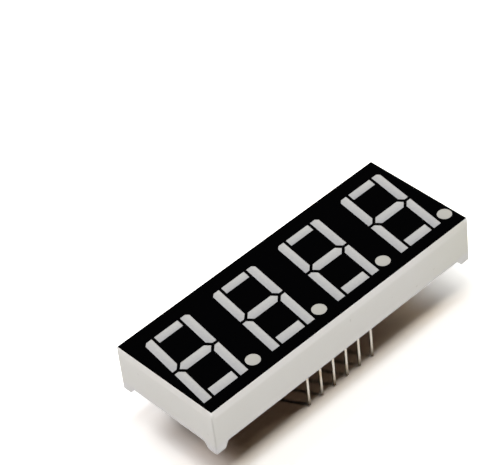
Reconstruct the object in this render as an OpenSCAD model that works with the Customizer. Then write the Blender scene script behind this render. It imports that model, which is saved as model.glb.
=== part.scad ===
// Four-digit seven-segment LED display module with twelve through-hole pins.
//
// The origin is the middle of the seating plane, where the corner feet meet a board.
// +X runs along the digits in reading order, +Y up the digits and +Z out of the lit face.
// Sizes are millimetres.

/* [Body] */
// Length of the moulded housing, along the row of digits
body_l = 50.3; // [50.2:0.1:58]
// Width of the moulded housing, up the digits
body_w = 19; // [18.4:0.1:26]
// Height from the seating plane to the lit face
body_h = 8; // [6.4:0.1:14]
// Thickness of the side walls round the open back
wall_t = 0.65; // [0.4:0.05:0.8]
// Height of the band round the lit face on which the walls lean in
band_h = 1.3; // [0.8:0.1:2]
// How far the walls lean in over that band
band_draft = 0.1; // [0.04:0.02:0.2]
// Radius along the edges of the lit face
edge_r = 0.06; // [0.02:0.02:0.2]
// Radius down the four upright corners
corner_r = 0.25; // [0.1:0.05:0.4]
// Thickness of the face over the cored-out pockets
face_t = 1; // [0.6:0.1:2]
// Thickness of the webs between a pocket and the light cavities
web_t = 0.7; // [0.4:0.05:1]
// Thickness of the printed mask on the face
ink_t = 0.04; // [0.02:0.01:0.1]

/* [Corner feet] */
// Height of a foot below the rim of the back
foot_h = 1.1; // [0.5:0.1:2]
// Length of each arm of a foot where it stands
foot_arm = 1.7; // [1.5:0.1:4]
// Extra length of an arm where it grows out of the rim
foot_flare = 0.55; // [0.1:0.05:1.2]
// Radius between a foot and the rim
foot_fillet_r = 0.5; // [0.1:0.05:0.8]
// Radius on the end of a foot's arm
foot_tip_r = 0.25; // [0.05:0.05:0.4]

/* [Digits] */
// Height of a digit
digit_h = 14.2; // [13:0.1:15]
// Width of a digit, measured level
digit_w = 8.2; // [7.8:0.05:8.4]
// Distance from one digit to the next
digit_pitch = 12.7; // [12.5:0.05:12.8]
// Lean of the digits, in degrees
slant = 8; // [0:0.5:10]
// Offset of the row of digits along X from the middle of the face
digits_x = -0.25; // [-0.35:0.05:0.1]
// Offset of the row of digits along Y from the middle of the face
digits_y = -0.25; // [-0.6:0.05:0.6]

/* [Segments] */
// Width of the upright segments, measured level
upright_w = 1.45; // [1.2:0.05:1.7]
// Height of the top segment
top_bar_h = 1.4; // [1.2:0.05:1.8]
// Height of the middle segment
middle_bar_h = 1.6; // [1.2:0.05:1.9]
// Height of the bottom segment
bottom_bar_h = 1.6; // [1.2:0.05:1.9]
// Gap between neighbouring segments
segment_gap = 0.45; // [0.15:0.05:0.5]
// Width of the blunt end of an upright at mid-height
blunt_w = 0.75; // [0.3:0.05:1.1]
// Angle of the pointed ends from level, in degrees
point_angle = 47; // [35:1:60]
// Cut across the outer top corners of a digit
corner_cut = 0.45; // [0.1:0.05:0.8]

/* [Decimal points] */
// Diameter of a decimal point
point_d = 2.2; // [1.6:0.05:2.5]
// Distance of a decimal point to the right of its digit's middle
point_x = 4.8; // [4.6:0.05:5]
// Height of a decimal point above its digit's middle
point_y = -6.2; // [-6.6:0.05:-5.6]

/* [Circuit board] */
// Thickness of the board
board_t = 1; // [0.6:0.1:1.6]
// Gap between the board's edges and the walls
board_gap = 0.2; // [0.1:0.05:0.3]
// Diameter of the two moulded posts that locate the board
post_d = 1.4; // [1:0.05:1.5]
// Length of a post past the back of the board
post_proud = 0.3; // [0.1:0.05:0.45]
// Gap round a post in its hole
post_gap = 0.05; // [0.03:0.01:0.15]

/* [Copper] */
// Thickness of the copper
copper_t = 0.05; // [0.02:0.01:0.1]
// Width of a track
track_w = 0.95; // [0.5:0.05:1]
// Width of the bare line between two areas of copper
isolation = 0.25; // [0.1:0.05:0.3]
// Border of bare board round the copper
copper_border = 0.4; // [0.1:0.1:0.8]
// Diameter of the pad round a pin
pin_pad_d = 1.5; // [1.3:0.05:1.6]
// Diameter of the round end of a track
track_end_d = 1.5; // [1.2:0.05:1.6]
// Distance from a row of pins to the nearest track that runs along it
lane_start = 1.75; // [1.7:0.05:1.9]
// Distance along the board in which a track bends out of its pad's direction
lane_bend = 0.6; // [0.4:0.05:0.8]
// Sidestep of a track between the outer two digits
lane_step = 0.8; // [0.5:0.05:0.9]
// Distance from the end of the board to the via of the nearest track
via_inset = 2.5; // [1.5:0.1:3]
// Distance between the vias of neighbouring tracks
via_stagger = 2.6; // [2:0.1:2.8]
// Length of the short track under each digit
bridge_l = 3.4; // [3:0.1:4]
// Distance by which the short track under each digit crosses over
bridge_rise = 1.8; // [1:0.1:1.9]
// Diameter of the cap of a plated via
via_cap_d = 0.9; // [0.6:0.05:1]
// Diameter of the barrel of a plated via
via_d = 0.5; // [0.3:0.05:0.55]
// Side of the square pad under a die
die_pad_w = 0.5; // [0.4:0.05:0.6]
// Diameter of the pad where a bond wire lands
bond_pad_d = 0.35; // [0.2:0.05:0.45]
// Bare board left round the pads at the foot of a light cavity
pad_border = 0.2; // [0.1:0.05:0.3]

/* [Dies and bond wires] */
// Side of a light-emitting die
die_w = 0.3; // [0.15:0.05:0.4]
// Height of a die
die_h = 0.25; // [0.1:0.05:0.4]
// Distance from a die to the pad of its bond wire
bond_span = 0.65; // [0.6:0.05:0.75]
// Diameter of a bond wire
bond_wire_d = 0.05; // [0.03:0.01:0.08]

/* [Pins] */
// Diameter of the free part of a pin
pin_d = 0.5; // [0.4:0.05:0.55]
// Diameter of a pin's shank, in the resin and the board
shank_d = 0.6; // [0.57:0.01:0.7]
// Distance from one pin to the next in a row
pin_pitch = 2.54; // [2.4:0.01:2.7]
// Distance from a row of pins to the long side of the body
row_inset = 1.88; // [1.7:0.02:3]
// Length of a pin below the seating plane
pin_below = 6.7; // [2:0.1:15]
// Bevel on the tip of a pin
pin_bevel = 0.12; // [0.05:0.01:0.18]
// Length of the shank that stands out of the resin
shank_proud = 0.5; // [0.35:0.05:0.8]
// Gap round a shank in its hole
shank_gap = 0.05; // [0.03:0.01:0.1]
// How far a pin stops short of the front of the board
pin_recess = 0.1; // [0.05:0.05:0.4]
// Diameter of a solder cone where it meets its pad
solder_d = 1.3; // [1.1:0.05:1.5]
// Thickness of the solder round the shank at the tip of a cone
solder_tip = 0.15; // [0.05:0.05:0.3]
// Height of a solder cone
solder_h = 0.5; // [0.2:0.05:0.7]

/* [Back resin] */
// Depth of the resin below the rim of the back
resin_drop = 0.3; // [0.25:0.05:1]
// Depth of resin over the back of the board
resin_over = 0.8; // [0.75:0.05:2]
// How far the resin creeps up the walls and the pins
creep = 0.2; // [0.05:0.01:0.24]
// How far the resin climbs into the corners at the feet
corner_climb = 0.9; // [0.3:0.05:1.1]
// How far the climbing resin spreads from a corner
corner_spread = 0.65; // [0.3:0.05:0.9]

/* [Hidden] */
$fn = 48;

digit_count = 4;
pins_per_row = 6;
arc_steps = 6;

// Heights of the layers, from the seating plane up to the lit face.
rim_z = foot_h;
resin_z = rim_z + resin_drop;
board_back_z = resin_z + resin_over;
board_front_z = board_back_z + board_t;
ink_z = body_h - ink_t;
pocket_top_z = body_h - face_t;
shank_z = resin_z - shank_proud;
cavity_h = ink_z - board_front_z;

// Distance between the two rows of pins.
row_gap = body_w - 2 * row_inset;

// Lean of the walls from upright on the band round the lit face, and how far in from
// the walls the flat of that face starts.
band_angle = atan(band_draft / band_h);
face_inset = (edge_r + (band_h - edge_r) * sin(band_angle)) / cos(band_angle);

// A light cavity's foot on the board clears its two pads.
cavity_foot_w = die_pad_w + 2 * pad_border;
point_foot_r = norm([(bond_span + die_pad_w) / 2, die_pad_w / 2]) + pad_border;

// Lean of a foot's flank from upright.
flank_angle = atan(foot_flare / foot_h);

// The inside of the walls and the board that lies in it.
inner_l = body_l - 2 * wall_t;
inner_w = body_w - 2 * wall_t;
board_l = inner_l - 2 * board_gap;
board_w = inner_w - 2 * board_gap;

// A digit drawn upright from its middle: u runs across it and v up it.
half_u = digit_w / 2;
half_v = digit_h / 2;
inner_u = half_u - upright_w;
bar_half_u = inner_u - segment_gap;
top_bar_v = half_v - top_bar_h;
bottom_bar_v = half_v - bottom_bar_h;
middle_half_v = middle_bar_h / 2;
point_slope = tan(point_angle);
blunt_v = segment_gap / 2;
blunt_u = half_u - blunt_w;
shoulder_v = blunt_v + (upright_w - blunt_w) * point_slope;
middle_flat_u = inner_u + (shoulder_v - middle_half_v) / point_slope
                - segment_gap / sin(point_angle);
middle_tip_u = middle_flat_u + middle_half_v / point_slope;

// The outline of the upper right segment. The other three uprights mirror it.
upright = [
    [inner_u, half_v],
    [inner_u, shoulder_v],
    [blunt_u, blunt_v],
    [half_u, blunt_v],
    [half_u, half_v],
];
cut_upright = [
    [inner_u, half_v],
    [inner_u, shoulder_v],
    [blunt_u, blunt_v],
    [half_u, blunt_v],
    [half_u, half_v - corner_cut],
    [half_u - corner_cut, half_v],
];

SEGMENTS = ["a", "b", "c", "d", "e", "f", "g"];

// Points along an arc, both ends included.
function arc(centre, radius, from, to) = [
    for (i = [0:arc_steps])
        let (angle = from + (to - from) * i / arc_steps)
        centre + radius * [cos(angle), sin(angle)]
];

function mirrored(points, across, up) = [for (p = points) [p[0] * across, p[1] * up]];

function bar(low, high) = [
    [-bar_half_u, low],
    [bar_half_u, low],
    [bar_half_u, high],
    [-bar_half_u, high],
];

middle_bar = [
    [-middle_tip_u, 0],
    [-middle_flat_u, -middle_half_v],
    [middle_flat_u, -middle_half_v],
    [middle_tip_u, 0],
    [middle_flat_u, middle_half_v],
    [-middle_flat_u, middle_half_v],
];

// The upright outline of a segment, by its letter.
function outline(letter) =
    letter == "a" ? bar(top_bar_v, half_v) :
    letter == "b" ? cut_upright :
    letter == "c" ? mirrored(upright, 1, -1) :
    letter == "d" ? bar(-half_v, -bottom_bar_v) :
    letter == "e" ? mirrored(upright, -1, -1) :
    letter == "f" ? mirrored(cut_upright, -1, 1) :
    middle_bar;

function is_upright(letter) = len(search(letter, "bcef")) > 0;

function low(points, i) = min([for (p = points) p[i]]);
function high(points, i) = max([for (p = points) p[i]]);
function middle(points) = [for (i = [0, 1]) (low(points, i) + high(points, i)) / 2];
function extent(points) = [for (i = [0, 1]) high(points, i) - low(points, i)];

// Leans a point, or a list of points, over with the digits.
function lean(p) = [p[0] + p[1] * tan(slant), p[1]];
function leaned(points) = [for (p = points) lean(p)];

function digit_at(digit) = [
    digits_x + (digit - (digit_count + 1) / 2) * digit_pitch,
    digits_y,
];

// A segment's leaned outline round its own middle, and where that middle lies.
function segment_shape(letter) =
    let (points = outline(letter), centre = middle(points))
    leaned([for (p = points) p - centre]);
function segment_at(digit, letter) = digit_at(digit) + lean(middle(outline(letter)));
function point_at(digit) = digit_at(digit) + [point_x, point_y];

// The places of the dies, each with the direction in which its bond wire runs.
function bond_angle(letter) = is_upright(letter) ? 90 - slant : 0;
die_places = [
    for (digit = [1:digit_count]) each concat(
        [for (s = SEGMENTS) [segment_at(digit, s), bond_angle(s)]],
        [[point_at(digit), 90]]
    )
];

// The pins, numbered along the bottom row and back along the top row.
function pin_at(number) = number <= pins_per_row
    ? [(number - (pins_per_row + 1) / 2) * pin_pitch, -row_gap / 2]
    : [((3 * pins_per_row + 1) / 2 - number) * pin_pitch, row_gap / 2];
pin_numbers = [1:2 * pins_per_row];

// The posts stand behind the blunt ends of the outer digits' inner uprights.
post_u = half_u - upright_w / 2;
post_places = [
    digit_at(1) + [post_u, 0],
    digit_at(digit_count) - [post_u, 0],
];

// The corners where two walls meet inside.
inner_corners = [for (x = [-1, 1], y = [-1, 1]) [x * inner_l / 2, y * inner_w / 2]];

// ---- Housing ----

// A block between two heights, centred on the Z axis.
module slab(length, width, low_z, high_z) {
    translate([-length / 2, -width / 2, low_z])
        cube([length, width, high_z - low_z]);
}

// The gap between two feet, seen along a wall. Each flank leans out from the end of
// a foot's arm, with a round tip below it and a fillet above it.
module foot_gap_profile(wall_length) {
    half = wall_length / 2 - foot_arm;
    tip_x = half + foot_tip_r * (1 - sin(flank_angle)) / cos(flank_angle);
    fillet_z = foot_h - foot_fillet_r;
    fillet_x = half - (foot_fillet_r + fillet_z * sin(flank_angle)) / cos(flank_angle);
    right = concat(
        [[tip_x, -1]],
        arc([tip_x, foot_tip_r], foot_tip_r, 270, 180 + flank_angle),
        arc([fillet_x, fillet_z], foot_fillet_r, flank_angle, 90)
    );
    last = len(right) - 1;
    polygon(concat(right, [for (i = [last:-1:0]) [-right[i][0], right[i][1]]]));
}

// A cut along one edge of the face. It leaves the wall leaning in over the band, and
// the edge above it round.
module edge_cutter(length) {
    rotate([90, 0, 0])
        linear_extrude(height = length, center = true)
            polygon(concat(
                [[0, -band_h]],
                arc([-face_inset, -edge_r], edge_r, band_angle, 90),
                [[-face_inset, 1], [1, 1], [1, -band_h]]
            ));
}

module face_edges() {
    for (turn = [0, 180]) {
        rotate([0, 0, turn])
            translate([body_l / 2, 0, ink_z])
                edge_cutter(body_w + 2);
        rotate([0, 0, 90 + turn])
            translate([body_w / 2, 0, ink_z])
                edge_cutter(body_l + 2);
    }
}

// What lies outside the round of an upright corner, from the middle of that round.
module corner_cutter() {
    difference() {
        translate([0, 0, -1])
            cube([corner_r + 1, corner_r + 1, body_h + 2]);
        translate([0, 0, -2])
            cylinder(h = body_h + 4, r = corner_r);
    }
}

module upright_corners() {
    for (x = [0, 1], y = [0, 1])
        mirror([x, 0, 0])
            mirror([0, y, 0])
                translate([body_l / 2 - corner_r, body_w / 2 - corner_r, 0])
                    corner_cutter();
}

module foot_gaps() {
    rotate([90, 0, 0])
        linear_extrude(height = body_w + 2, center = true)
            foot_gap_profile(body_l);
    rotate([90, 0, 90])
        linear_extrude(height = body_l + 2, center = true)
            foot_gap_profile(body_w);
}

// A light cavity narrows from the face to its foot on the board. The resin cast in it
// has the same shape.
module segment_cavity(digit, letter) {
    taper = cavity_foot_w / min(extent(outline(letter)));
    translate([each segment_at(digit, letter), ink_z])
        mirror([0, 0, 1])
            linear_extrude(height = cavity_h, scale = taper, slices = 1,
                           segments = len(outline(letter)))
                polygon(segment_shape(letter));
}

module point_cavity(digit) {
    translate([each point_at(digit), board_front_z])
        cylinder(h = cavity_h, d1 = 2 * point_foot_r, d2 = point_d);
}

// A pocket cored out of the back, between four sides of the upright digit.
module pocket(digit, u, v) {
    translate([each digit_at(digit), board_front_z])
        linear_extrude(height = pocket_top_z - board_front_z)
            polygon(leaned([[u[0], v[0]], [u[1], v[0]], [u[1], v[1]], [u[0], v[1]]]));
}

module pockets() {
    core_u = inner_u - web_t;
    between_u = [half_u + web_t, digit_pitch - half_u - web_t];
    for (digit = [1:digit_count]) {
        pocket(digit, [-core_u, core_u], [middle_half_v + web_t, top_bar_v - web_t]);
        pocket(digit, [-core_u, core_u], [web_t - bottom_bar_v, -middle_half_v - web_t]);
    }
    for (digit = [1:digit_count - 1]) {
        pocket(digit, between_u, [web_t / 2, half_v]);
        pocket(digit, between_u, [point_y + point_d / 2 + web_t, -web_t / 2]);
    }
}

module housing() {
    color("ivory") {
        difference() {
            slab(body_l, body_w, 0, ink_z);
            slab(inner_l, inner_w, -1, board_front_z);
            foot_gaps();
            face_edges();
            upright_corners();
            pockets();
            for (digit = [1:digit_count]) {
                for (letter = SEGMENTS)
                    segment_cavity(digit, letter);
                point_cavity(digit);
            }
        }
        for (at = post_places)
            translate([each at, board_back_z - post_proud])
                cylinder(h = board_front_z - board_back_z + post_proud, d = post_d);
    }
}

// ---- Face ----

module face_mask() {
    color("black")
        translate([0, 0, ink_z])
            linear_extrude(height = ink_t)
                difference() {
                    square([body_l - 2 * face_inset, body_w - 2 * face_inset],
                           center = true);
                    for (digit = [1:digit_count]) {
                        for (letter = SEGMENTS)
                            translate(segment_at(digit, letter))
                                polygon(segment_shape(letter));
                        translate(point_at(digit))
                            circle(d = point_d);
                    }
                }
}

module segment(digit, letter) {
    color("gainsboro")
        difference() {
            union() {
                segment_cavity(digit, letter);
                translate([each segment_at(digit, letter), ink_z])
                    linear_extrude(height = ink_t)
                        polygon(segment_shape(letter));
            }
            die_and_wire(segment_at(digit, letter), bond_angle(letter));
        }
}

module decimal_point(digit) {
    color("gainsboro")
        difference() {
            union() {
                point_cavity(digit);
                translate([each point_at(digit), ink_z])
                    cylinder(h = ink_t, d = point_d);
            }
            die_and_wire(point_at(digit), 90);
        }
}

// ---- Dies, wires and their pads ----

// Everything that a cavity's resin is cast over.
module die_and_wire(at, angle) {
    front_pads(at, angle);
    die(at, angle);
    bond_wire(at, angle);
}

module on_board(at, angle, x, height) {
    translate([each at, board_front_z + height])
        rotate([0, 0, angle])
            translate([x, 0, 0])
                children();
}

module front_pads(at, angle) {
    on_board(at, angle, -bond_span / 2, 0)
        translate([-die_pad_w / 2, -die_pad_w / 2, 0])
            cube([die_pad_w, die_pad_w, copper_t]);
    on_board(at, angle, bond_span / 2, 0)
        cylinder(h = copper_t, d = bond_pad_d);
}

module die(at, angle) {
    on_board(at, angle, -bond_span / 2, copper_t)
        translate([-die_w / 2, -die_w / 2, 0])
            cube([die_w, die_w, die_h]);
}

// A half ring from the top of the die, with a straight leg down to the pad.
module bond_wire(at, angle) {
    on_board(at, angle, 0, copper_t + die_h)
        rotate([90, 0, 0])
            rotate_extrude(angle = 180)
                translate([bond_span / 2, 0])
                    circle(d = bond_wire_d);
    on_board(at, angle, bond_span / 2, copper_t)
        cylinder(h = die_h, d = bond_wire_d);
}

module led_chips() {
    color("khaki")
        for (place = die_places)
            die(place[0], place[1]);
}

module bond_wires() {
    color("gold")
        for (place = die_places)
            bond_wire(place[0], place[1]);
}

// ---- Board ----

// A pin's track goes to the nearer end of the board. The outermost pin's lies nearest
// its row, and each next one lies a lane further in, so that no two cross.
lane_pitch = track_w + isolation;

function lane_of(number) = (pins_per_row - 1) / 2 - abs(pin_at(number)[0]) / pin_pitch;

function pin_track(number) =
    let (
        start = pin_at(number),
        lane = lane_of(number),
        x = abs(start[0]),
        y = abs(start[1]) - lane_start - lane * lane_pitch,
        step_x = digit_pitch - lane * lane_pitch * tan(22.5),
        end_x = board_l / 2 - via_inset - lane * via_stagger
    )
    mirrored([
        [x, abs(start[1])],
        [x, y + lane_bend],
        [x + lane_bend, y],
        [step_x, y],
        [step_x + lane_step, y - lane_step],
        [end_x, y - lane_step],
    ], sign(start[0]), sign(start[1]));

// A short track under each digit joins two vias across the middle of the board. It runs
// level at both ends, with a slope of 45 degrees between.
function bridge(digit) =
    let (
        x = (digit - (digit_count + 1) / 2) * digit_pitch,
        end_x = bridge_l / 2,
        y = bridge_rise / 2
    )
    [
        [x - end_x, y],
        [x - y, y],
        [x + y, -y],
        [x + end_x, -y],
    ];

pin_tracks = [for (n = pin_numbers) pin_track(n)];
bridges = [for (d = [1:digit_count]) bridge(d)];
function end_of(route) = route[len(route) - 1];
via_places = concat(
    [for (t = pin_tracks) end_of(t)],
    [for (t = bridges) each [t[0], end_of(t)]]
);

function unit(v) = v / norm(v);
function turned(v) = [-v[1], v[0]];

// The offset of a ribbon's edge from point i of its route, one unit wide.
function ribbon_edge(route, i) =
    let (
        last = len(route) - 1,
        before = unit(route[max(i, 1)] - route[max(i, 1) - 1]),
        after = unit(route[min(i, last - 1) + 1] - route[min(i, last - 1)]),
        across = unit(turned(before) + turned(after))
    )
    across / (across * turned(before)) / 2;

module ribbon(route, width) {
    last = len(route) - 1;
    polygon(concat(
        [for (i = [0:last]) route[i] + width * ribbon_edge(route, i)],
        [for (i = [last:-1:0]) route[i] - width * ribbon_edge(route, i)]
    ));
}

module track(route, start_d, extra) {
    ribbon(route, track_w + 2 * extra);
    translate(route[0])
        circle(d = start_d + 2 * extra);
    translate(end_of(route))
        circle(d = track_end_d + 2 * extra);
}

module tracks(extra) {
    for (route = pin_tracks)
        track(route, pin_pad_d, extra);
    for (route = bridges)
        track(route, track_end_d, extra);
}

module post_holes(low_z, high_z) {
    for (at = post_places)
        translate([each at, low_z])
            cylinder(h = high_z - low_z, d = post_d + 2 * post_gap);
}

module shank_holes(low_z, high_z) {
    for (n = pin_numbers)
        translate([each pin_at(n), low_z])
            cylinder(h = high_z - low_z, d = shank_d + 2 * shank_gap);
}

module via_barrels() {
    for (at = via_places)
        translate([each at, board_back_z])
            cylinder(h = board_t, d = via_d);
}

module via_caps() {
    for (at = via_places)
        translate([each at, board_back_z - copper_t])
            cylinder(h = copper_t, d = via_cap_d);
}

module circuit_board() {
    color("rosybrown")
        difference() {
            slab(board_l, board_w, board_back_z, board_front_z);
            via_barrels();
            post_holes(board_back_z - 1, board_front_z + 1);
            shank_holes(board_back_z - 1, board_front_z + 1);
        }
}

// The copper on the back: tracks, and a sheet round them that fills the board.
module back_copper() {
    difference() {
        translate([0, 0, board_back_z - copper_t])
            linear_extrude(height = copper_t) {
                difference() {
                    square([board_l - 2 * copper_border, board_w - 2 * copper_border],
                           center = true);
                    tracks(isolation);
                }
                tracks(0);
            }
        via_caps();
        post_holes(board_back_z - 1, board_front_z);
        shank_holes(board_back_z - 1, board_front_z);
    }
}

module copper_tracks() {
    color("tan") {
        back_copper();
        for (place = die_places)
            front_pads(place[0], place[1]);
    }
}

module plated_vias() {
    color("saddlebrown") {
        via_caps();
        via_barrels();
    }
}

// ---- Pins ----

// A straight round wire with a bevelled tip and a thicker shank in the board.
module pin(number) {
    color("silver")
        translate(pin_at(number)) {
            translate([0, 0, -pin_below])
                cylinder(h = pin_bevel, d1 = pin_d - 2 * pin_bevel, d2 = pin_d);
            translate([0, 0, pin_bevel - pin_below])
                cylinder(h = shank_z + pin_below - pin_bevel, d = pin_d);
            translate([0, 0, shank_z])
                cylinder(h = board_front_z - pin_recess - shank_z, d = shank_d);
        }
}

module solder_cone(number) {
    translate([each pin_at(number), board_back_z - copper_t - solder_h])
        cylinder(h = solder_h, d1 = shank_d + 2 * solder_tip, d2 = solder_d);
}

module solder_joints() {
    color("lightgray")
        difference() {
            for (n = pin_numbers)
                solder_cone(n);
            for (n = pin_numbers)
                translate([each pin_at(n), 0])
                    cylinder(h = body_h, d = shank_d);
        }
}

// ---- Back resin ----

// The hollow over the resin: its sides lean in over the creep along the walls.
module resin_hollow_profile(length) {
    polygon([
        [-length / 2, resin_z - creep],
        [creep - length / 2, resin_z],
        [length / 2 - creep, resin_z],
        [length / 2, resin_z - creep],
    ]);
}

module resin_hollow() {
    intersection() {
        rotate([90, 0, 0])
            linear_extrude(height = inner_w, center = true)
                resin_hollow_profile(inner_l);
        rotate([90, 0, 90])
            linear_extrude(height = inner_l, center = true)
                resin_hollow_profile(inner_w);
    }
}

module corner_resin() {
    intersection() {
        for (at = inner_corners)
            translate([each at, resin_z - corner_climb])
                cylinder(h = corner_climb, r1 = creep, r2 = corner_spread);
        slab(inner_l, inner_w, 0, resin_z);
    }
}

module pin_resin(number) {
    translate([each pin_at(number), resin_z - creep])
        cylinder(h = creep, d1 = shank_d, d2 = shank_d + 2 * creep);
}

module back_resin() {
    color("lightsteelblue", 0.5)
        difference() {
            union() {
                difference() {
                    slab(inner_l, inner_w, resin_z - creep, board_front_z);
                    resin_hollow();
                }
                corner_resin();
                for (n = pin_numbers)
                    pin_resin(n);
            }
            slab(board_l, board_w, board_back_z, board_front_z + 1);
            back_copper();
            via_caps();
            shank_holes(board_back_z - copper_t, board_front_z);
            for (n = pin_numbers) {
                solder_cone(n);
                translate([each pin_at(n), 0])
                    cylinder(h = body_h, d = shank_d);
            }
            for (at = post_places)
                translate([each at, board_back_z - post_proud])
                    cylinder(h = body_h, d = post_d);
        }
}

housing();
face_mask();
circuit_board();
copper_tracks();
plated_vias();
led_chips();
bond_wires();
solder_joints();
back_resin();
for (n = pin_numbers)
    pin(n);
for (d = [1:digit_count], s = SEGMENTS)
    segment(d, s);
for (d = [1:digit_count])
    decimal_point(d);
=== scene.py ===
"""A four-digit seven-segment display module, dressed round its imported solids.

Everything is in metres in the frame of the solids: +X along the digits, +Y up them and
+Z out of the lit face. The module stands on the tips of its pins.
"""

from math import atan2, cos, exp, pi, radians, sin

import bmesh
import bpy
from mathutils import Matrix, Vector, noise


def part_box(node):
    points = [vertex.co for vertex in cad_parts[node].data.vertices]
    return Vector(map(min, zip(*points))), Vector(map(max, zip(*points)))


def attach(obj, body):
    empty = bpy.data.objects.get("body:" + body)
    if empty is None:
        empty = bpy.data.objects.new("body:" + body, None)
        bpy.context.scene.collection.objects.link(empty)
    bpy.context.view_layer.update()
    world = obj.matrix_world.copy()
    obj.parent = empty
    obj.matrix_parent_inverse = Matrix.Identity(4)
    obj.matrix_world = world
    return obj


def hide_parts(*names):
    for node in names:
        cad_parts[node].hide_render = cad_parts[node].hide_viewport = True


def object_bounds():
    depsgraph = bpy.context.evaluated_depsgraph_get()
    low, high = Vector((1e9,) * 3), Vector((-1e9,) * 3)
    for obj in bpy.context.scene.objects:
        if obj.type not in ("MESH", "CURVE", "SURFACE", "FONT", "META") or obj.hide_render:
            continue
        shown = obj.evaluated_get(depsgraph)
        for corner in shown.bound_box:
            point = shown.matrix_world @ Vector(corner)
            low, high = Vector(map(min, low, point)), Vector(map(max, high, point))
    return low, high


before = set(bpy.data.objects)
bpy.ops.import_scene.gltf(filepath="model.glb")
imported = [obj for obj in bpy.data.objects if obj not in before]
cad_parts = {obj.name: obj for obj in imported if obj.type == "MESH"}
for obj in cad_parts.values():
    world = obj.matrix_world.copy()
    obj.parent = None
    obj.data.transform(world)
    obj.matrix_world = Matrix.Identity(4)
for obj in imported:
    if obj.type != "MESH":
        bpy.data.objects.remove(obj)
solid_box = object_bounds()

MM = 0.001

# ---- Places read from the solids ----

FLOOR_Z = solid_box[0].z
TOP_Z = solid_box[1].z
END_X = solid_box[1].x
SIDE_Y = solid_box[1].y
BAND_DEPTH = 1.34 * MM
BAND_Z = TOP_Z - BAND_DEPTH


def pin_places():
    """The middle of each pin in mm, bottom row first."""
    names = [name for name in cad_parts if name.startswith("pin_")]
    boxes = [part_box(name) for name in sorted(names, key=lambda name: int(name[4:]))]
    return [(low + high).xy / 2 / MM for low, high in boxes]


# ---- Camera ----

CAMERA_AT = Vector((-153.65, -178.43, 233.17)) * MM
CAMERA_AZIMUTH = -39.41
CAMERA_ELEVATION = 42.42
CAMERA_ROLL = -6.89
CAMERA_LENS = 168.65
CAMERA_SENSOR = 36.0
CAMERA_NEAR = 10 * MM
CAMERA_FAR = 10.0


def make_camera():
    camera = bpy.data.cameras.new("camera")
    camera.lens = CAMERA_LENS
    camera.sensor_width = CAMERA_SENSOR
    camera.clip_start = CAMERA_NEAR
    camera.clip_end = CAMERA_FAR
    holder = bpy.data.objects.new("camera", camera)
    bpy.context.scene.collection.objects.link(holder)
    azimuth, elevation = radians(CAMERA_AZIMUTH), radians(CAMERA_ELEVATION)
    back = Vector((
        sin(azimuth) * cos(elevation),
        -cos(azimuth) * cos(elevation),
        sin(elevation),
    ))
    level = (-back).to_track_quat("-Z", "Y").to_matrix()
    turn = level @ Matrix.Rotation(radians(CAMERA_ROLL), 3, "Z")
    holder.matrix_world = Matrix.Translation(CAMERA_AT) @ turn.to_4x4()
    bpy.context.scene.camera = holder


# ---- Making materials ----

class Nodes:
    """Short names for adding and joining the nodes of a material, a world or a lamp."""

    def __init__(self, owner):
        owner.use_nodes = True
        self.tree = owner.node_tree
        self.tree.nodes.clear()

    def add(self, kind, inputs=None, **settings):
        node = self.tree.nodes.new("ShaderNode" + kind)
        for key, value in settings.items():
            setattr(node, key, value)
        for key, value in (inputs or {}).items():
            if isinstance(value, bpy.types.NodeSocket):
                self.tree.links.new(value, node.inputs[key])
            else:
                node.inputs[key].default_value = value
        return node

    def coordinates(self):
        return self.add("TexCoord").outputs["Object"]

    def parts(self, vector):
        return self.add("SeparateXYZ", {"Vector": vector}).outputs[:3]

    def math(self, operation, *values):
        return self.add("Math", dict(enumerate(values)), operation=operation).outputs[0]

    def product(self, first, second):
        return self.math("MULTIPLY", first, second)

    def size(self, value):
        return self.math("ABSOLUTE", value)

    def under(self, value, limit):
        return self.math("LESS_THAN", value, limit)

    def either(self, first, second):
        return self.math("MAXIMUM", first, second)

    def noise(self, scale, detail=2.0, roughness=0.5, vector=None):
        inputs = {"Vector": vector or self.coordinates(), "Scale": scale,
                  "Detail": detail, "Roughness": roughness}
        return self.add("TexNoise", inputs).outputs["Fac"]

    def fade(self, value, low, high, to_low=0.0, to_high=1.0):
        inputs = {"Value": value, "From Min": low, "From Max": high,
                  "To Min": to_low, "To Max": to_high}
        return self.add("MapRange", inputs).outputs["Result"]

    def patches(self, scale, detail, low, high, share=1.0):
        """Soft-edged patches: 0 where the noise is below low, up to share above high."""
        return self.fade(self.noise(scale, detail), low, high, to_high=share)

    def mix(self, factor, first, second):
        inputs = {0: factor, 6: first, 7: second}
        return self.add("Mix", inputs, data_type="RGBA").outputs[2]

    def mottle(self, first, second, scale, detail=2.0):
        return self.mix(self.noise(scale, detail), first, second)

    def wave(self, value, length):
        swing = self.math("SINE", self.product(value, 2 * pi / length))
        return self.fade(swing, -1.0, 1.0)

    def bump(self, height, strength, distance):
        inputs = {"Height": height, "Strength": strength, "Distance": distance}
        return self.add("Bump", inputs).outputs["Normal"]

    def finish(self, **inputs):
        inputs = {key.replace("_", " "): value for key, value in inputs.items()}
        shader = self.add("BsdfPrincipled", inputs)
        self.add("OutputMaterial", {"Surface": shader.outputs[0]})


def new_material(name):
    material = bpy.data.materials.new(name)
    return material, Nodes(material)


# ---- Housing and its printed face ----

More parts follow.
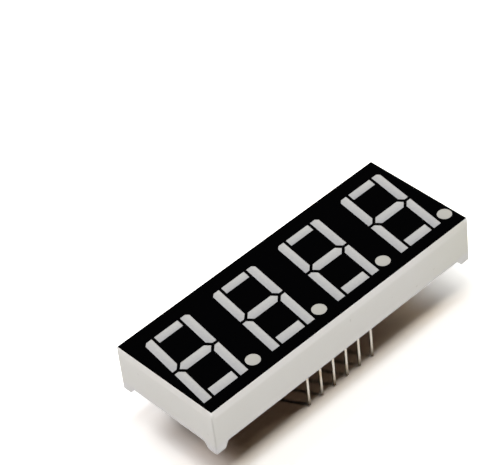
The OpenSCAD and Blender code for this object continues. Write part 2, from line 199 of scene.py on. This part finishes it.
PLASTIC_WHITE = (0.80, 0.79, 0.755, 1)
PLASTIC_CREAM = (0.775, 0.765, 0.73, 1)
# Painted light: the band round the top of the walls is made paler than the plastic.
BAND_PAINTED_LIGHT = (0.87, 0.865, 0.84, 1)
# Painted shade: a darker green-grey cast towards the right end.
RIGHT_END_PAINTED_SHADE = (0.70, 0.695, 0.62, 1)
HEM_MAUVE = (0.76, 0.745, 0.775, 1)
# Painted highlight: the top corners are made paler.
CORNER_PAINTED_GLINT = (0.99, 0.985, 0.97, 1)
SPECK_BROWN = (0.28, 0.25, 0.21, 1)
INK_BLACK = (0.0002, 0.0002, 0.0003, 1)
INK_GREY = (0.0008, 0.0008, 0.0010, 1)

# From where to where on its axis each change of the plastic's colour runs
BAND_FADE = (BAND_Z - 0.20 * MM, BAND_Z + 0.25 * MM)
LONG_SIDE_FADE = (END_X - 0.6 * MM, END_X - 0.3 * MM)
RIGHT_END_FADE = (13 * MM, 25 * MM)
HEM_FADE = (1.0 * MM, 1.9 * MM)
CORNER_WIDTH = 0.85 * MM
CORNER_X_FADE = (END_X - CORNER_WIDTH, END_X)
CORNER_Y_FADE = (SIDE_Y - CORNER_WIDTH, SIDE_Y)
CORNER_Z_FADE = (TOP_Z - 0.9 * MM, TOP_Z - 0.3 * MM)


def moulded_plastic():
    """White moulding: polished round the face, dull below, with a few dark specks. Painted
    light makes the band round the top of the long walls and the top corners paler, and
    painted shade gives the right end a green-grey cast.
    """
    material, n = new_material("moulded_plastic")
    x, y, z = n.parts(n.coordinates())
    colour = n.mottle(PLASTIC_WHITE, PLASTIC_CREAM, scale=90, detail=3)
    # Painted light: the band round the top of the long walls is paler, fading out towards
    # the ends.
    band = n.fade(z, *BAND_FADE)
    long_side = n.fade(n.size(x), *LONG_SIDE_FADE, to_low=0.85, to_high=0.0)
    colour = n.mix(n.product(band, long_side), colour, BAND_PAINTED_LIGHT)
    # Painted shade: darker and greener towards the right end.
    colour = n.mix(n.fade(x, *RIGHT_END_FADE, to_high=0.8), colour, RIGHT_END_PAINTED_SHADE)
    hem = n.fade(z, *HEM_FADE, to_low=0.5, to_high=0.0)
    colour = n.mix(hem, colour, HEM_MAUVE)
    # Painted highlight: the top corners are paler than the walls.
    corner = n.product(n.fade(n.size(x), *CORNER_X_FADE), n.fade(n.size(y), *CORNER_Y_FADE))
    corner = n.product(corner, n.fade(z, *CORNER_Z_FADE))
    colour = n.mix(corner, colour, CORNER_PAINTED_GLINT)
    specks = n.patches(scale=1400, detail=0, low=0.82, high=0.85, share=0.16)
    colour = n.mix(specks, colour, SPECK_BROWN)
    grain = n.noise(scale=7000, detail=3, roughness=0.6)
    n.finish(Base_Color=colour,
             Roughness=n.fade(band, 0.0, 1.0, to_low=0.50, to_high=0.34),
             Normal=n.bump(grain, strength=0.18, distance=0.02 * MM))
    return material


def printed_ink():
    material, n = new_material("printed_ink")
    colour = n.mottle(INK_BLACK, INK_GREY, scale=3000)
    grain = n.noise(scale=20000)
    n.finish(Base_Color=colour, Roughness=0.6, IOR=1.03,
             Normal=n.bump(grain, strength=0.2, distance=0.005 * MM))
    return material


# ---- Pins and solder ----

WIRE_BRIGHT = (0.68, 0.665, 0.62, 1)
WIRE_GREY = (0.56, 0.535, 0.485, 1)
WIRE_MARK = (0.50, 0.46, 0.40, 1)
WIRE_TARNISH = (0.42, 0.31, 0.17, 1)
# Dark cut end, together with painted shade where the pin meets the floor.
WIRE_CUT_END_SHADE = (0.035, 0.02, 0.012, 1)
PIN_FOOT_SHADE_FADE = (FLOOR_Z + 0.2 * MM, FLOOR_Z + 1.8 * MM)
WIRE_DRAWN = (1, 1, 0.08)
SOLDER_BRIGHT = (0.72, 0.71, 0.69, 1)
SOLDER_DULL = (0.50, 0.49, 0.47, 1)


def tinned_wire():
    """Tinned wire with faint drawing marks, darkened towards its cut end: partly tarnish at
    the end itself, partly painted shade where the pin meets the floor in the module's
    shadow.
    """
    material, n = new_material("tinned_wire")
    place = n.coordinates()
    z = n.parts(place)[2]
    along = n.add("Mapping", {"Vector": place, "Scale": WIRE_DRAWN}).outputs[0]
    marks = n.noise(scale=7000, vector=along)
    colour = n.mottle(WIRE_BRIGHT, WIRE_GREY, scale=900, detail=3)
    colour = n.mix(n.fade(marks, 0.5, 0.75, to_high=0.5), colour, WIRE_MARK)
    tarnish = n.patches(scale=420, detail=3, low=0.52, high=0.68, share=0.55)
    colour = n.mix(tarnish, colour, WIRE_TARNISH)
    # Painted shade: the last part of the wire above the floor is darkened, besides the dark
    # cut end itself.
    end = n.fade(z, *PIN_FOOT_SHADE_FADE, to_low=0.8, to_high=0.0)
    colour = n.mix(end, colour, WIRE_CUT_END_SHADE)
    n.finish(Base_Color=colour, Metallic=1.0, Roughness=0.13,
             Normal=n.bump(marks, strength=0.2, distance=0.01 * MM))
    return material


def solder():
    material, n = new_material("solder")
    colour = n.mottle(SOLDER_BRIGHT, SOLDER_DULL, scale=1500, detail=3)
    frost = n.fade(n.noise(scale=4000), 0.35, 0.7, to_low=0.22, to_high=0.5)
    lumps = n.noise(scale=2600)
    n.finish(Base_Color=colour, Metallic=1.0, Roughness=frost,
             Normal=n.bump(lumps, strength=0.25, distance=0.02 * MM))
    return material


# ---- Cast resins ----

CLEAR_WARM = (0.93, 0.92, 0.90, 1)
CLEAR_GREY = (0.86, 0.86, 0.86, 1)


def window_resin(name, dark, light):
    """Milky resin that brightens towards one side of its window, with a faint mottle. The
    brightening across each window is painted light and shade.
    """
    material, n = new_material(name)
    lean = n.add("Attribute", attribute_name="lean").outputs["Fac"]
    uneven = n.fade(n.noise(scale=2600, detail=3), 0.3, 0.7, to_low=-0.10, to_high=0.10)
    colour = n.mix(n.math("ADD", lean, uneven), dark, light)
    ripple = n.noise(scale=1500)
    n.finish(Base_Color=colour, Roughness=0.38,
             Normal=n.bump(ripple, strength=0.06, distance=0.02 * MM))
    return material


def clear_resin():
    """Slightly cloudy casting resin with a hard gloss on its free face."""
    material, n = new_material("clear_resin")
    tint = n.mottle(CLEAR_WARM, CLEAR_GREY, scale=260, detail=3)
    cloud = n.fade(n.noise(scale=500, detail=3), 0.35, 0.7, to_low=0.05, to_high=0.13)
    ripple = n.noise(scale=1800)
    n.finish(Base_Color=tint, Roughness=cloud, IOR=1.5, Transmission_Weight=1.0,
             Coat_Weight=1.0, Coat_Roughness=0.02,
             Normal=n.bump(ripple, strength=0.05, distance=0.02 * MM))
    return material


# ---- Board, copper and dies ----

WEAVE = 0.5 * MM
BOARD_DARK = (0.135, 0.120, 0.098, 1)
BOARD_LIGHT = (0.19, 0.17, 0.14, 1)
BOARD_CLOUD = (0.15, 0.13, 0.115, 1)
COPPER_LIGHT = (0.47, 0.42, 0.355, 1)
COPPER_DARK = (0.40, 0.36, 0.31, 1)
COPPER_SMUDGE = (0.20, 0.19, 0.20, 1)
VIA_DARK = (0.055, 0.045, 0.036, 1)
VIA_LIGHT = (0.10, 0.085, 0.075, 1)
DIE_LIGHT = (0.45, 0.42, 0.25, 1)
DIE_DARK = (0.30, 0.28, 0.18, 1)
GOLD_LIGHT = (0.83, 0.55, 0.18, 1)
GOLD_DARK = (0.70, 0.45, 0.15, 1)


def board_laminate():
    """Bare board, with the weave of the cloth showing through."""
    material, n = new_material("board_laminate")
    x, y, _ = n.parts(n.coordinates())
    weave = n.product(n.wave(x, WEAVE), n.wave(y, WEAVE))
    colour = n.mix(weave, BOARD_DARK, BOARD_LIGHT)
    cloud = n.patches(scale=300, detail=3, low=0.4, high=0.7)
    colour = n.mix(cloud, colour, BOARD_CLOUD)
    n.finish(Base_Color=colour, Roughness=0.5,
             Normal=n.bump(weave, strength=0.3, distance=0.02 * MM))
    return material


def masked_copper():
    """Copper under a thin lacquer, with a few dark smudges."""
    material, n = new_material("masked_copper")
    colour = n.mottle(COPPER_LIGHT, COPPER_DARK, scale=350, detail=4)
    smudge = n.patches(scale=210, detail=2, low=0.60, high=0.72, share=0.55)
    colour = n.mix(smudge, colour, COPPER_SMUDGE)
    grain = n.noise(scale=3000, detail=3)
    n.finish(Base_Color=colour, Roughness=0.38,
             Normal=n.bump(grain, strength=0.1, distance=0.01 * MM))
    return material


def via_plating():
    material, n = new_material("via_plating")
    n.finish(Base_Color=n.mottle(VIA_DARK, VIA_LIGHT, scale=2500, detail=3), Roughness=0.35)
    return material


def die_crystal():
    material, n = new_material("die")
    n.finish(Base_Color=n.mottle(DIE_LIGHT, DIE_DARK, scale=5000), Roughness=0.25)
    return material


def gold_wire():
    material, n = new_material("bond_wire")
    n.finish(Base_Color=n.mottle(GOLD_LIGHT, GOLD_DARK, scale=9000),
             Metallic=1.0, Roughness=0.25)
    return material


# ---- Finishes of the solids that stay ----

FINISHES = {
    "housing": moulded_plastic,
    "face_mask": printed_ink,
    "circuit_board": board_laminate,
    "copper_tracks": masked_copper,
    "plated_vias": via_plating,
    "led_chips": die_crystal,
    "bond_wires": gold_wire,
    "solder_joints": solder,
}


def dress(node, material):
    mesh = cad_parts[node].data
    mesh.materials.clear()
    mesh.materials.append(material)


def dress_solids():
    for node, finish in FINISHES.items():
        dress(node, finish())
    wire = tinned_wire()
    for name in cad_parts:
        if name.startswith("pin_"):
            dress(name, wire)


def add_piece(name, work, material, slot, *nodes):
    """Turn a finished bmesh into a piece that stands for one or more solids."""
    mesh = bpy.data.meshes.new(name)
    work.to_mesh(mesh)
    work.free()
    mesh.materials.append(material)
    piece = bpy.data.objects.new(name, mesh)
    bpy.context.scene.collection.objects.link(piece)
    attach(piece, "root")
    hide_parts(*nodes)
    return piece


# ---- Resin windows ----

CROWN_DROP = 0.06 * MM
# Width in mm of each ring of the crown, from the edge in, and its share of the rise
CROWN_STEPS = ((0.05, 0.34), (0.08, 0.30), (0.12, 0.22), (0.15, 0.14))
# How much the painted light and shade runs across a window rather than along it.
LEAN_ACROSS = 0.62
MERGE_WITHIN = 1e-7
LEVEL_WITHIN = 0.5e-6
# Each window's colour runs from painted shade on one side to painted light on the other.
SEGMENT_PAINTED_SHADE = (0.33, 0.335, 0.35, 1)
SEGMENT_PAINTED_LIGHT = (0.53, 0.53, 0.51, 1)
POINT_PAINTED_SHADE = (0.406, 0.399, 0.370, 1)
POINT_PAINTED_LIGHT = (0.471, 0.464, 0.422, 1)


def merged_copy(node):
    work = bmesh.new()
    work.from_mesh(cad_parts[node].data)
    bmesh.ops.remove_doubles(work, verts=work.verts, dist=MERGE_WITHIN)
    return work


def crown_top(work):
    """Swap the flat top for a low crown that sinks a little to the edge of the print."""
    top = [face for face in work.faces
           if all(abs(vert.co.z - TOP_Z) < LEVEL_WITHIN for vert in face.verts)]
    lid = bmesh.ops.dissolve_faces(work, faces=top)["region"]
    for vert in lid[0].verts:
        vert.co.z -= CROWN_DROP
    lid[0].smooth = True
    for width, rise in CROWN_STEPS:
        ring = bmesh.ops.inset_region(work, faces=lid, thickness=width * MM,
                                      depth=rise * CROWN_DROP, use_boundary=True,
                                      use_even_offset=True)["faces"]
        for face in ring:
            face.smooth = True


def window_axes(work):
    """The middle of a window, and its long and short way with how far each reaches."""
    points = [vert.co.xy for vert in work.verts if vert.co.z > TOP_Z - 2 * CROWN_DROP]
    middle = sum(points, Vector((0, 0))) / len(points)
    xx = sum((p.x - middle.x) ** 2 for p in points)
    yy = sum((p.y - middle.y) ** 2 for p in points)
    xy = sum((p.x - middle.x) * (p.y - middle.y) for p in points)
    turn = atan2(2 * xy, xx - yy) / 2
    ways = []
    for angle in (turn, turn + pi / 2):
        way = Vector((cos(angle), sin(angle)))
        if way.x + way.y < 0:
            way.negate()
        reach = max(abs((p - middle).dot(way)) for p in points)
        ways.append((way, reach))
    return middle, ways


def set_lean(work):
    """Store how far each point lies towards the painted lighter side of its window, 0 to 1.
    """
    middle, ways = window_axes(work)
    lean = work.verts.layers.float.new("lean")
    for vert in work.verts:
        along, across = ((vert.co.xy - middle).dot(way) / reach for way, reach in ways)
        value = LEAN_ACROSS * across + (1 - LEAN_ACROSS) * along
        vert[lean] = min(max(0.5 + value / 2, 0), 1)


def make_windows():
    bars = window_resin("segment_resin", SEGMENT_PAINTED_SHADE, SEGMENT_PAINTED_LIGHT)
    points = window_resin("point_resin", POINT_PAINTED_SHADE, POINT_PAINTED_LIGHT)
    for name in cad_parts:
        if name.startswith("digit_"):
            work = merged_copy(name)
            crown_top(work)
            set_lean(work)
            bmesh.ops.triangulate(work, faces=work.faces)
            resin = points if name.endswith("point") else bars
            add_piece(name + "_crowned", work, resin, "window_resin", name)


# ---- Back resin, in mm ----

RESIN_LEVEL = 1.4
RESIN_BACK = 2.3
RESIN_CELL = 0.19
RESIN_SAG = 0.05
WALL_CREEP = 0.22
WALL_REACH = 0.30
CORNER_CLIMB = 0.95
CORNER_REACH = 1.15
SHANK_R = 0.3
PIN_CREEP = 0.24
PIN_REACH = 0.16
WAVE_HEIGHT = 0.02
WAVE_LENGTH = 3.0
LUMP_HEIGHT = 0.20
LUMP_WIDTH = 0.85
LUMP_ASIDE = 0.35
LUMP_OUT = 0.2
WRINKLE_HEIGHT = 0.16
WRINKLE_LENGTH = 0.55
WRINKLE_WIDTH = 0.95
WRINKLE_LAYER = 7


def bell(away, width):
    return exp(-(away / width) ** 2)


def wall_rise(at, half):
    """The resin's creep up the walls and its climb in the corners, less its sag."""
    wall_x, wall_y = half.x - abs(at.x), half.y - abs(at.y)
    rise = WALL_CREEP * (exp(-wall_x / WALL_REACH) + exp(-wall_y / WALL_REACH))
    corner = max(0, 1 - Vector((wall_x, wall_y)).length / CORNER_REACH)
    rise += CORNER_CLIMB * corner ** 2
    return rise - RESIN_SAG * (1 - (at.x / half.x) ** 2) * (1 - (at.y / half.y) ** 2)


def lump_rise(at, pin, side):
    """The lump beside a pin of the top row."""
    lump = pin + Vector((side * LUMP_ASIDE, LUMP_OUT))
    return LUMP_HEIGHT * bell((at - lump).length, LUMP_WIDTH)


def wrinkle_rise(at, pins):
    """The creases along the top row of pins."""
    last = max(abs(pin.x) for pin in pins)
    row = max(pin.y for pin in pins)
    past = max(abs(at.x) - last, 0)
    mess = bell(at.y - row, WRINKLE_WIDTH) * bell(past, WRINKLE_WIDTH)
    crease = noise.noise(Vector((at.x, at.y, WRINKLE_LAYER)) / WRINKLE_LENGTH)
    return WRINKLE_HEIGHT * mess * (1 - 2 * abs(crease))


def resin_rise(at, half, pins):
    """How far the resin's free face stands out of its level at a place."""
    rise = wall_rise(at, half)
    rise += WAVE_HEIGHT * noise.noise(Vector((at.x, at.y, 0)) / WAVE_LENGTH)
    for number, pin in enumerate(pins):
        away = (at - pin).length
        rise += PIN_CREEP * exp(-max(away - SHANK_R, 0) / PIN_REACH)
        if pin.y > 0:
            rise += lump_rise(at, pin, 1 if number % 2 else -1)
    return rise + wrinkle_rise(at, pins)


def free_face(work):
    """A fine grid at the height of the resin's wetted, lumpy face, looking down."""
    low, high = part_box("back_resin")
    half = high.xy / MM
    pins = pin_places()
    columns, rows = round(2 * half.x / RESIN_CELL), round(2 * half.y / RESIN_CELL)
    bmesh.ops.create_grid(work, x_segments=columns, y_segments=rows, size=1)
    for vert in work.verts:
        at = Vector((vert.co.x * half.x, vert.co.y * half.y))
        level = max(RESIN_LEVEL - resin_rise(at, half, pins), low.z / MM)
        vert.co = Vector((at.x, at.y, level)) * MM
    bmesh.ops.reverse_faces(work, faces=work.faces)
    for face in work.faces:
        face.smooth = True


def make_resin():
    """The resin that closes the back, as one block."""
    work = bmesh.new()
    free_face(work)
    rim = [edge for edge in work.edges if edge.is_boundary]
    side = bmesh.ops.extrude_edge_only(work, edges=rim)["geom"]
    for vert in side:
        if isinstance(vert, bmesh.types.BMVert):
            vert.co.z = RESIN_BACK * MM
    rim = [edge for edge in work.edges if edge.is_boundary]
    bmesh.ops.edgeloop_fill(work, edges=rim)
    bmesh.ops.triangulate(work, faces=work.faces)
    bmesh.ops.recalc_face_normals(work, faces=work.faces)
    piece = add_piece("poured_resin", work, clear_resin(), "clear_resin", "back_resin")
    piece.visible_shadow = False


# ---- Floor and surroundings ----

FLOOR_HALF = 3.0
FLOOR_FADE = (70 * MM, 200 * MM)
FLOOR_SEEN = (1.60, 1.58, 1.55, 1)
FLOOR_BOUNCE = (0.008, 0.0045, 0.003, 1)
PLAIN_WHITE = (1, 1, 1, 1)
DIM_WARM = (1, 0.9, 0.8, 1)
DIM_STRENGTH = 0.0008


def first_look(n):
    """1 for light that has not yet bounced off a matt surface, else 0."""
    return n.under(n.add("LightPath").outputs["Diffuse Depth"], 0.5)


def seen_directly(n):
    """1 for what is looked at, also in a mirror or through a clear piece, else 0."""
    path = n.add("LightPath").outputs
    seen = n.either(path["Is Camera Ray"], path["Is Glossy Ray"])
    seen = n.either(seen, path["Is Transmission Ray"])
    return n.product(seen, first_look(n))


def floor_material():
    """White paper, plain white far off and open to a look from below."""
    material, n = new_material("floor")
    colour = n.mix(seen_directly(n), FLOOR_BOUNCE, FLOOR_SEEN)
    paper = n.add("BsdfDiffuse", {"Color": colour})
    white = n.add("Emission", {"Color": PLAIN_WHITE, "Strength": 1.0})
    reach = n.add("VectorMath", {0: n.coordinates()}, operation="LENGTH").outputs["Value"]
    far = n.fade(reach, *FLOOR_FADE)
    lit = n.add("MixShader", {0: far, 1: paper.outputs[0], 2: white.outputs[0]})
    clear = n.add("BsdfTransparent")
    below = n.add("NewGeometry").outputs["Backfacing"]
    gone = n.either(below, n.add("LightPath").outputs["Is Shadow Ray"])
    both = n.add("MixShader", {0: gone, 1: lit.outputs[0], 2: clear.outputs[0]})
    n.add("OutputMaterial", {"Surface": both.outputs[0]})
    return material


def make_floor():
    work = bmesh.new()
    bmesh.ops.create_grid(work, x_segments=1, y_segments=1, size=FLOOR_HALF)
    bmesh.ops.translate(work, verts=work.verts, vec=(0, 0, FLOOR_Z))
    mesh = bpy.data.meshes.new("floor")
    work.to_mesh(mesh)
    work.free()
    mesh.materials.append(floor_material())
    floor = bpy.data.objects.new("floor", mesh)
    bpy.context.scene.collection.objects.link(floor)


def make_world():
    """White where it is looked at, and nearly dark as a light."""
    world = bpy.data.worlds.new("studio")
    bpy.context.scene.world = world
    n = Nodes(world)
    dim = n.add("Background", {"Color": DIM_WARM, "Strength": DIM_STRENGTH})
    white = n.add("Background", {"Color": PLAIN_WHITE, "Strength": 1.0})
    both = n.add("MixShader", {0: seen_directly(n), 1: dim.outputs[0], 2: white.outputs[0]})
    n.add("OutputWorld", {"Surface": both.outputs[0]})


# ---- Lights ----

PANEL_Z = 0.60
# Middle, size, power and colour of each panel overhead
PANELS = {
    "near": ((0.22, -0.15), (0.80, 0.10), 1.54, (1.0, 0.925, 0.83)),
    "right": ((0.475, -0.05), (0.45, 0.12), 1.42, (0.74, 0.88, 1.0)),
    "left": ((-0.43, -0.03), (0.34, 0.14), 0.82, (1.0, 0.80, 0.66)),
    "middle": ((0.01, 0.0), (0.48, 0.08), 0.48, (0.66, 0.84, 1.0)),
    "far_right": ((1.10, 0.025), (0.80, 0.13), 3.00, (1.0, 0.82, 0.62)),
    "near_right": ((0.90, -0.27), (0.50, 0.08), 0.70, (1.0, 0.80, 0.56)),
    "far_left": ((-0.23, 0.38), (0.40, 0.44), 2.75, (0.98, 0.97, 0.98)),
    "far": ((0.02, 0.45), (0.26, 0.30), 1.00, (0.97, 0.99, 1.0)),
}
KEY_AT = (0.36, -0.69, 0.62)
KEY_SIZE = 0.055
KEY_POWER = 0.30
KEY_COLOUR = (1.0, 0.60, 0.36)
# Side and power of each low lamp, which looks up at a wall from below the floor
LOW_LAMPS = {
    "near": ((0, -1), 2.16),
    "left": ((-1, 0), 2.35),
    "far": ((0, 1), 1.6),
    "right": ((1, 0), 2.1),
}
LOW_AWAY = 0.55
LOW_DROP = 0.26
LOW_SIZE = 0.40
LOW_COLOUR = (0.99, 1.0, 1.0)
MIDDLE = Vector((0, 0, 0))


def add_lamp(name, shape, size, power, colour, place, target=None):
    """An area lamp turned to its target, or facing straight down without one."""
    lamp = bpy.data.lights.new(name, "AREA")
    lamp.shape = shape
    lamp.size, lamp.size_y = size
    lamp.energy = power
    lamp.color = colour
    holder = bpy.data.objects.new(name, lamp)
    holder.visible_camera = False
    bpy.context.scene.collection.objects.link(holder)
    place = Vector(place)
    turn = Matrix.Identity(4)
    if target is not None:
        turn = (target - place).to_track_quat("-Z", "Y").to_matrix().to_4x4()
    holder.matrix_world = Matrix.Translation(place) @ turn
    return holder


def fill_only(holder):
    """Keep a lamp to the matt light of what is looked at: no glints and no bounces."""
    holder.visible_glossy = False
    n = Nodes(holder.data)
    glow = n.add("Emission", {"Color": PLAIN_WHITE, "Strength": first_look(n)})
    n.add("OutputLight", {"Surface": glow.outputs[0]})


def make_lights():
    for name, ((x, y), size, power, colour) in PANELS.items():
        add_lamp("panel_" + name, "RECTANGLE", size, power, colour, (x, y, PANEL_Z))
    add_lamp("key", "DISK", (KEY_SIZE, KEY_SIZE), KEY_POWER, KEY_COLOUR, KEY_AT, MIDDLE)
    for side, ((x, y), power) in LOW_LAMPS.items():
        place = (x * LOW_AWAY, y * LOW_AWAY, -LOW_DROP)
        lamp = add_lamp("low_" + side, "DISK", (LOW_SIZE, LOW_SIZE), power,
                        LOW_COLOUR, place, MIDDLE)
        fill_only(lamp)


# ---- Making the scene ----


make_camera()
make_world()
make_lights()
make_floor()
dress_solids()
make_windows()
make_resin()
bpy.context.scene.view_settings.view_transform = "Standard"
